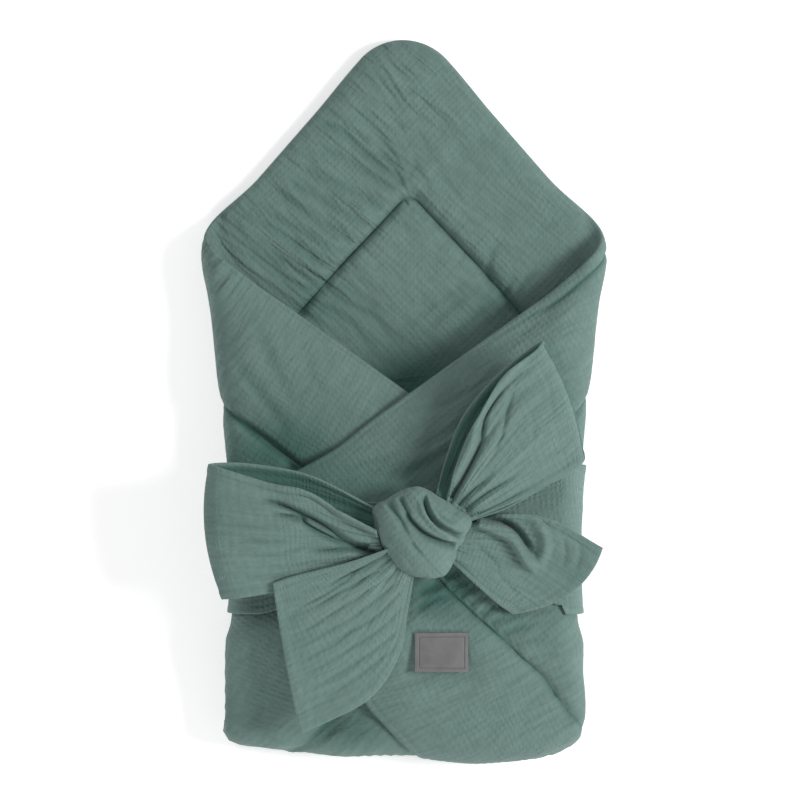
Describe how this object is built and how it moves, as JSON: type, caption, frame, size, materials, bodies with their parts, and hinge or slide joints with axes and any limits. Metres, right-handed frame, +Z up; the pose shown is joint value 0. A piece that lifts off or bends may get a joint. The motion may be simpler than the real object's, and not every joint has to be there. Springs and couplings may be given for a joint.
{
  "type": "rolled swaddle wrap",
  "caption": "Padded square baby wrap folded into an envelope with a pointed hood and a pocket, tied round with a wide sash and a bow.",
  "frame": {"origin": "on the surface that the wrap lies on, under the middle of its outline", "axes": "+Y toward the tip of the hood, +Z up from the back it lies on, +X to the right as seen from above with the hood at the top"},
  "size_m": [0.4092, 0.7282, 0.1409],
  "materials": {
    "quilt_cloth": "matte crinkled double gauze in sage green",
    "sash_cloth": "matte crinkled gauze in sage green",
    "label": "smooth grey imitation leather with a pressed frame line, left blank"
  },
  "bodies": {
    "root": {"quilt": "quilt_cloth", "sash_band": "sash_cloth", "bow_knot": "sash_cloth", "bow_left_loop": "sash_cloth", "bow_right_loop": "sash_cloth", "bow_left_tail": "sash_cloth", "bow_right_tail": "sash_cloth", "patch": "label"}
  },
  "joints": []
}
